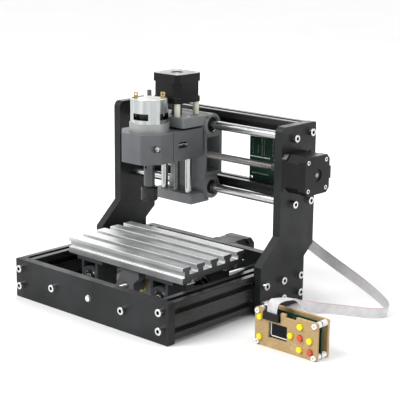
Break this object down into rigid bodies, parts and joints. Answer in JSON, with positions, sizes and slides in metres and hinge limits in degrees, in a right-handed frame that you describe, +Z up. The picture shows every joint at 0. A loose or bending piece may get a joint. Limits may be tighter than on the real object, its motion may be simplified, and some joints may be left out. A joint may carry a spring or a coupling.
{
  "type": "desktop cnc router",
  "caption": "Small gantry mill: slotted table on a box base, plate uprights, belt-free screw drives, spindle on a lifting head, and a wired hand pad.",
  "frame": {"origin": "on the floor, at the middle of the footprint of the machine and its pad together, ribbon left out", "axes": "+X along the gantry towards its motor and the pad, +Y from the front plate to the rear plate, +Z up"},
  "size_m": [0.3906, 0.258, 0.2515],
  "materials": {
    "black_plate": "moulded black plastic, fine grain",
    "black_extrusion": "black anodised",
    "ground_steel": "ground and hard chromed",
    "screw_steel": "rolled stainless thread",
    "bolt_steel": "nickel plated",
    "bearing_steel": "bright ground",
    "coupler_black": "black anodised",
    "motor_black": "satin black paint",
    "motor_stack": "black laminations",
    "table_aluminium": "bright mill finish",
    "black_plastic": "moulded black plastic",
    "brass": "turned brass",
    "grey_plastic": "moulded grey plastic, layered",
    "cream_nylon": "natural nylon",
    "zinc_can": "zinc plated drawn steel",
    "white_plastic": "moulded white plastic",
    "tool_steel": "dark ground steel",
    "dark_nut": "blackened steel",
    "board_green": "green solder mask",
    "heat_sink": "extruded fins",
    "papered_panel": "acrylic under tan backing paper",
    "screen": "dark display glass",
    "yellow_key": "moulded yellow cap",
    "red_key": "moulded red cap",
    "ribbon_grey": "grey vinyl ribbon"
  },
  "bodies": {
    "frame": {"front_plate": "black_plate", "rear_plate": "black_plate", "side_rails": "black_extrusion", "upright_left": "black_plate", "upright_right": "black_plate", "rear_beams": "black_extrusion", "guide_rods": "ground_steel", "screw_end_bearings": "bearing_steel", "frame_fasteners": "bolt_steel", "frame_motor_stacks": "motor_stack", "frame_motor_caps": "motor_black", "control_board": "board_green", "driver_heat_sinks": "heat_sink", "board_connectors": "black_plastic", "pad_front_panel": "papered_panel", "pad_rear_panel": "papered_panel", "pad_board": "board_green", "board_fixings": "cream_nylon", "pad_screen": "screen", "pad_switches": "black_plastic", "ribbon_cable": "ribbon_grey", "ribbon_plugs": "black_plastic"},
    "y_table": {"table_top": "table_aluminium", "table_blocks": "black_plastic", "y_bearings": "bearing_steel", "y_nut_block": "grey_plastic", "y_nut": "brass"},
    "y_screw": {"y_leadscrew": "screw_steel", "y_coupler": "coupler_black"},
    "x_screw": {"x_leadscrew": "screw_steel", "x_coupler": "coupler_black"},
    "x_carriage": {"x_carriage_body": "grey_plastic", "x_bearings": "bearing_steel", "x_nut": "brass", "z_rods": "ground_steel", "z_motor_stack": "motor_stack", "z_motor_caps": "motor_black", "z_motor_screws": "bolt_steel", "z_standoffs": "cream_nylon"},
    "z_screw": {"z_leadscrew": "screw_steel", "z_coupler": "coupler_black"},
    "spindle_head": {"spindle_holder": "grey_plastic", "clamp_hardware": "bolt_steel", "z_bearings": "bearing_steel", "z_nut": "brass", "spindle_can": "zinc_can", "spindle_cap": "white_plastic", "spindle_terminals": "brass"},
    "spindle_rotor": {"spindle_shaft": "tool_steel", "collet_holder": "tool_steel", "collet": "bearing_steel", "collet_nut": "dark_nut"},
    "key_upper_left": {"pad_button_upper_left": "yellow_key"},
    "key_lower_left": {"pad_button_lower_left": "yellow_key"},
    "key_up": {"pad_button_up": "yellow_key"},
    "key_left": {"pad_button_left": "yellow_key"},
    "key_centre": {"pad_button_centre": "red_key"},
    "key_right": {"pad_button_right": "yellow_key"},
    "key_down": {"pad_button_down": "yellow_key"},
    "key_stop": {"pad_button_stop": "red_key"}
  },
  "joints": [
    {"name": "y_slide", "type": "slide", "parent": "frame", "child": "y_table", "axis": [0, 1, 0], "range_m": [-0.0425, 0.0555]},
    {"name": "y_screw_spin", "type": "hinge", "parent": "frame", "child": "y_screw", "pos_m": [-0.06025, -0.014, 0.024], "axis": [0, 1, 0], "continuous": true},
    {"name": "x_slide", "type": "slide", "parent": "frame", "child": "x_carriage", "axis": [1, 0, 0], "range_m": [-0.062, 0.096]},
    {"name": "x_screw_spin", "type": "hinge", "parent": "frame", "child": "x_screw", "pos_m": [-0.06025, 0.062, 0.156], "axis": [1, 0, 0], "continuous": true},
    {"name": "z_slide", "type": "slide", "parent": "x_carriage", "child": "spindle_head", "axis": [0, 0, 1], "range_m": [-0.042, 0.0015]},
    {"name": "z_screw_spin", "type": "hinge", "parent": "x_carriage", "child": "z_screw", "pos_m": [-0.08225, 0.037, 0.18], "axis": [0, 0, 1], "continuous": true},
    {"name": "spindle_spin", "type": "hinge", "parent": "spindle_head", "child": "spindle_rotor", "pos_m": [-0.08225, -0.0075, 0.18], "axis": [0, 0, 1], "continuous": true},
    {"name": "press_upper_left", "type": "slide", "parent": "frame", "child": "key_upper_left", "axis": [0, 1, 0], "range_m": [0, 0.0005], "stiffness_N_per_m": 800, "springref_m": -0.0015},
    {"name": "press_lower_left", "type": "slide", "parent": "frame", "child": "key_lower_left", "axis": [0, 1, 0], "range_m": [0, 0.0005], "stiffness_N_per_m": 800, "springref_m": -0.0015},
    {"name": "press_up", "type": "slide", "parent": "frame", "child": "key_up", "axis": [0, 1, 0], "range_m": [0, 0.0005], "stiffness_N_per_m": 800, "springref_m": -0.0015},
    {"name": "press_left", "type": "slide", "parent": "frame", "child": "key_left", "axis": [0, 1, 0], "range_m": [0, 0.0005], "stiffness_N_per_m": 800, "springref_m": -0.0015},
    {"name": "press_centre", "type": "slide", "parent": "frame", "child": "key_centre", "axis": [0, 1, 0], "range_m": [0, 0.0005], "stiffness_N_per_m": 800, "springref_m": -0.0015},
    {"name": "press_right", "type": "slide", "parent": "frame", "child": "key_right", "axis": [0, 1, 0], "range_m": [0, 0.0005], "stiffness_N_per_m": 800, "springref_m": -0.0015},
    {"name": "press_down", "type": "slide", "parent": "frame", "child": "key_down", "axis": [0, 1, 0], "range_m": [0, 0.0005], "stiffness_N_per_m": 800, "springref_m": -0.0015},
    {"name": "press_stop", "type": "slide", "parent": "frame", "child": "key_stop", "axis": [0, 1, 0], "range_m": [0, 0.0005], "stiffness_N_per_m": 800, "springref_m": -0.0015}
  ],
  "couplings": [
    {"joint": "y_screw_spin", "follows": "y_slide", "rad_per_m": -1570.8},
    {"joint": "x_screw_spin", "follows": "x_slide", "rad_per_m": -1570.8},
    {"joint": "z_screw_spin", "follows": "z_slide", "rad_per_m": -1570.8}
  ]
}
